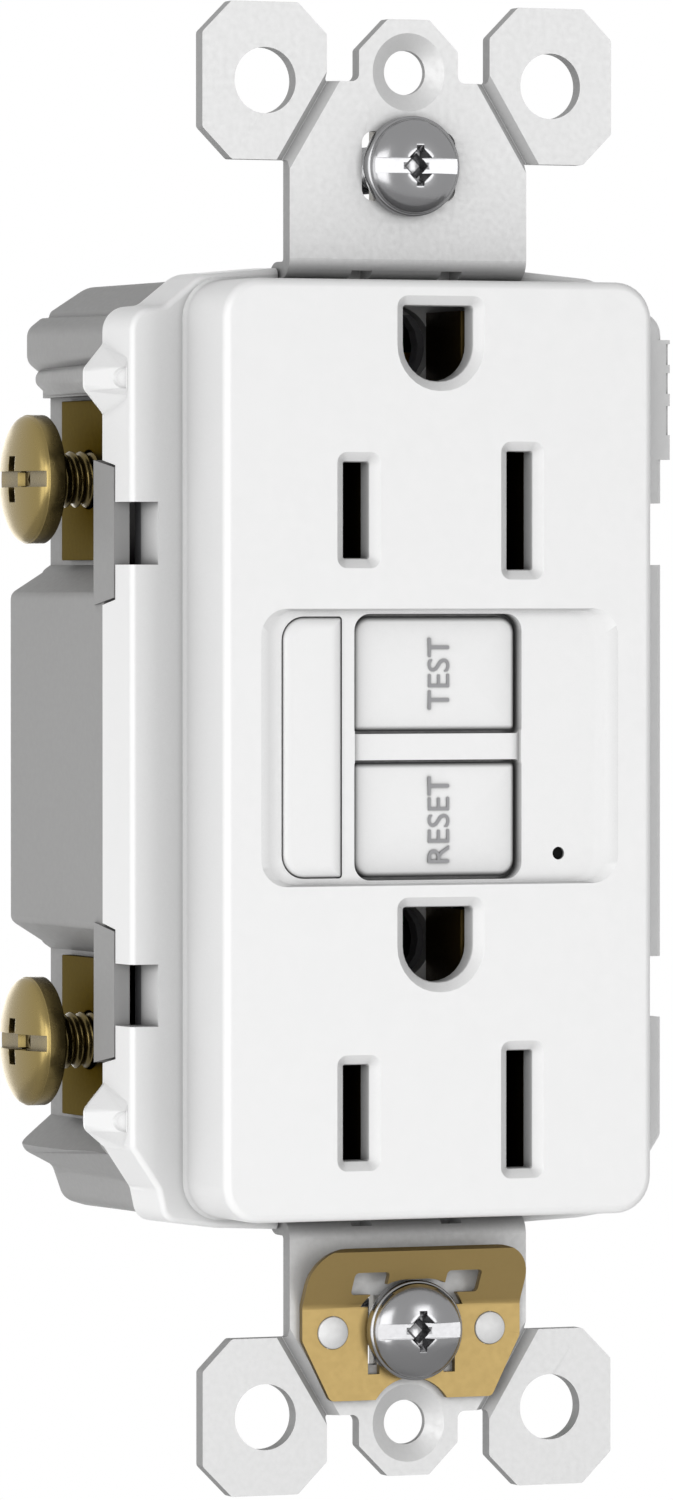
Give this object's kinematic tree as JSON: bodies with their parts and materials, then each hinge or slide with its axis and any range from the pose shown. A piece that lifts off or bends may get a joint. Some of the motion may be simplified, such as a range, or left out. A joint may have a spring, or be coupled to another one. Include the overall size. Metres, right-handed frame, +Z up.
{
  "type": "ground fault receptacle outlet",
  "caption": "Duplex wall outlet with ground fault protection, test and reset buttons, screw terminals and a steel mounting strap.",
  "frame": {"origin": "centre of the mounting strap's rear plane, midway between the two mounting screws", "axes": "+Z up with the ground openings above the blade slots, -Y out of the face, +X to the right seen from the front"},
  "size_m": [0.0482, 0.0319, 0.1064],
  "materials": {
    "white_plastic": "satin gloss",
    "gray_plastic": "fine matte",
    "inner_plastic": "matte",
    "plated_steel": "zinc plated satin",
    "polished_steel": "bright plated",
    "spring_steel": "plain",
    "clip_brass": "satin",
    "contact_brass": "plain",
    "green_steel": "dyed plating",
    "fibre": "pressed fibre",
    "silver_plate": "nickel plated",
    "screw_brass": "bright plated",
    "terminal_brass": "satin",
    "contact_copper": "plain copper",
    "coil_copper": "enamelled wire",
    "black_nylon": "matte",
    "transformer_tape": "tape",
    "board_laminate": "solder mask",
    "varistor_coat": "epoxy",
    "capacitor_case": "moulded",
    "chip_epoxy": "moulded",
    "resistor_body": "lacquer",
    "indicator_clear": "dark tinted"
  },
  "bodies": {
    "device": {"front_cover": "white_plastic", "badge_insert": "white_plastic", "indicator_lens": "indicator_clear", "mounting_strap": "plated_steel", "self_ground_clip": "clip_brass", "clip_rivet_left": "plated_steel", "clip_rivet_right": "plated_steel", "rear_housing": "gray_plastic", "reset_spring": "spring_steel", "plunger_spring": "spring_steel", "separator_frame": "inner_plastic", "ground_contact_upper": "contact_brass", "ground_contact_lower": "contact_brass", "hot_receptacle_contacts": "contact_brass", "neutral_receptacle_contacts": "contact_brass", "solenoid_bobbin": "black_nylon", "solenoid_coil": "coil_copper", "solenoid_frame": "plated_steel", "sensing_transformer": "transformer_tape", "grounded_neutral_transformer": "transformer_tape", "transformer_holder": "black_nylon", "circuit_board": "board_laminate", "surge_varistor": "varistor_coat", "filter_capacitor": "capacitor_case", "control_chip": "chip_epoxy", "test_resistor": "resistor_body", "indicator_lamp": "indicator_clear", "line_hot_terminal": "terminal_brass", "line_neutral_terminal": "silver_plate", "load_hot_terminal": "terminal_brass", "load_neutral_terminal": "silver_plate", "body_screw_upper_left": "spring_steel", "body_screw_upper_right": "spring_steel", "body_screw_lower_left": "spring_steel", "body_screw_lower_right": "spring_steel"},
    "test_button": {"test_button": "white_plastic"},
    "test_blade": {"test_blade": "contact_copper"},
    "reset_button": {"reset_button": "white_plastic", "reset_pin": "spring_steel"},
    "latch_block": {"latch_block": "black_nylon"},
    "latch_plate": {"latch_plate": "spring_steel"},
    "hot_arm": {"hot_contact_arm": "contact_copper"},
    "neutral_arm": {"neutral_contact_arm": "contact_copper"},
    "plunger": {"solenoid_plunger": "spring_steel"},
    "ground_clamp": {"ground_clamp": "plated_steel"},
    "ground_screw": {"ground_screw": "green_steel"},
    "line_hot_clamp": {"line_hot_clamp": "terminal_brass"},
    "line_hot_screw": {"line_hot_screw": "screw_brass"},
    "line_neutral_clamp": {"line_neutral_clamp": "silver_plate"},
    "line_neutral_screw": {"line_neutral_screw": "silver_plate"},
    "load_hot_clamp": {"load_hot_clamp": "terminal_brass"},
    "load_hot_screw": {"load_hot_screw": "screw_brass"},
    "load_neutral_clamp": {"load_neutral_clamp": "silver_plate"},
    "load_neutral_screw": {"load_neutral_screw": "silver_plate"},
    "screw_retainer_upper": {"screw_retainer_upper": "fibre"},
    "mounting_screw_upper": {"mounting_screw_upper": "polished_steel"},
    "screw_retainer_lower": {"screw_retainer_lower": "fibre"},
    "mounting_screw_lower": {"mounting_screw_lower": "polished_steel"}
  },
  "joints": [
    {"name": "test_press", "type": "slide", "parent": "device", "child": "test_button", "axis": [0, 1, 0], "range_m": [0, 0.0012], "stiffness_N_per_m": 600},
    {"name": "test_blade_flex", "type": "hinge", "parent": "device", "child": "test_blade", "pos_m": [-0.0096, 0.0034, 0.0054], "axis": [0, 0, 1], "range_deg": [0, 7.2]},
    {"name": "reset_press", "type": "slide", "parent": "device", "child": "reset_button", "axis": [0, 1, 0], "range_m": [0, 0.002], "stiffness_N_per_m": 500, "deforming": ["reset_spring"]},
    {"name": "latch_drop", "type": "slide", "parent": "device", "child": "latch_block", "axis": [0, 1, 0], "range_m": [0, 0.0016]},
    {"name": "hot_arm_swing", "type": "hinge", "parent": "device", "child": "hot_arm", "pos_m": [-0.0084, 0.01095, -0.0144], "axis": [-1, 0, 0], "range_deg": [0, 9.6]},
    {"name": "neutral_arm_swing", "type": "hinge", "parent": "device", "child": "neutral_arm", "pos_m": [0.0084, 0.01095, -0.0144], "axis": [-1, 0, 0], "range_deg": [0, 9.6]},
    {"name": "plunger_strike", "type": "slide", "parent": "device", "child": "plunger", "axis": [0, 0, -1], "range_m": [0, 0.0012], "stiffness_N_per_m": 80, "springref_m": -0.004, "deforming": ["plunger_spring"]},
    {"name": "latch_plate_slide", "type": "slide", "parent": "latch_block", "child": "latch_plate", "axis": [0, 0, -1], "range_m": [0, 0.0012]},
    {"name": "ground_clamp_slide", "type": "slide", "parent": "device", "child": "ground_clamp", "axis": [0, 0, 1], "range_m": [0, 0.0014]},
    {"name": "ground_screw_turn", "type": "hinge", "parent": "ground_clamp", "child": "ground_screw", "pos_m": [0.0082, 0.012, -0.0387], "axis": [0, 0, 1], "range_deg": [0, 645]},
    {"name": "line_hot_clamp_slide", "type": "slide", "parent": "device", "child": "line_hot_clamp", "axis": [1, 0, 0], "range_m": [0, 0.003]},
    {"name": "line_hot_screw_turn", "type": "hinge", "parent": "line_hot_clamp", "child": "line_hot_screw", "pos_m": [-0.0181, 0.0154, 0.01935], "axis": [1, 0, 0], "range_deg": [0, 1380]},
    {"name": "line_neutral_clamp_slide", "type": "slide", "parent": "device", "child": "line_neutral_clamp", "axis": [-1, 0, 0], "range_m": [0, 0.003]},
    {"name": "line_neutral_screw_turn", "type": "hinge", "parent": "line_neutral_clamp", "child": "line_neutral_screw", "pos_m": [0.0181, 0.0154, 0.01935], "axis": [-1, 0, 0], "range_deg": [0, 1380]},
    {"name": "load_hot_clamp_slide", "type": "slide", "parent": "device", "child": "load_hot_clamp", "axis": [1, 0, 0], "range_m": [0, 0.003]},
    {"name": "load_hot_screw_turn", "type": "hinge", "parent": "load_hot_clamp", "child": "load_hot_screw", "pos_m": [-0.0181, 0.0154, -0.0213], "axis": [1, 0, 0], "range_deg": [0, 1380]},
    {"name": "load_neutral_clamp_slide", "type": "slide", "parent": "device", "child": "load_neutral_clamp", "axis": [-1, 0, 0], "range_m": [0, 0.003]},
    {"name": "load_neutral_screw_turn", "type": "hinge", "parent": "load_neutral_clamp", "child": "load_neutral_screw", "pos_m": [0.0181, 0.0154, -0.0213], "axis": [-1, 0, 0], "range_deg": [0, 1380]},
    {"name": "screw_retainer_upper_slide", "type": "slide", "parent": "device", "child": "screw_retainer_upper", "axis": [1, 0, 0], "range_m": [-0.0014, 0.0014]},
    {"name": "mounting_screw_upper_turn", "type": "hinge", "parent": "screw_retainer_upper", "child": "mounting_screw_upper", "pos_m": [0, 0, 0.04167], "axis": [0, 1, 0], "continuous": true},
    {"name": "screw_retainer_lower_slide", "type": "slide", "parent": "device", "child": "screw_retainer_lower", "axis": [1, 0, 0], "range_m": [-0.0007, 0.0007]},
    {"name": "mounting_screw_lower_turn", "type": "hinge", "parent": "screw_retainer_lower", "child": "mounting_screw_lower", "pos_m": [0, 0, -0.04167], "axis": [0, 1, 0], "continuous": true}
  ],
  "couplings": [
    {"joint": "test_blade_flex", "follows": "test_press", "rad_per_m": 104.17},
    {"joint": "hot_arm_swing", "follows": "latch_drop", "rad_per_m": 104.17},
    {"joint": "neutral_arm_swing", "follows": "latch_drop", "rad_per_m": 104.17},
    {"joint": "latch_plate_slide", "follows": "plunger_strike", "ratio": 1},
    {"joint": "ground_screw_turn", "follows": "ground_clamp_slide", "rad_per_m": 7913.3},
    {"joint": "line_hot_screw_turn", "follows": "line_hot_clamp_slide", "rad_per_m": 7913.3},
    {"joint": "line_neutral_screw_turn", "follows": "line_neutral_clamp_slide", "rad_per_m": 7913.3},
    {"joint": "load_hot_screw_turn", "follows": "load_hot_clamp_slide", "rad_per_m": 7913.3},
    {"joint": "load_neutral_screw_turn", "follows": "load_neutral_clamp_slide", "rad_per_m": 7913.3}
  ]
}
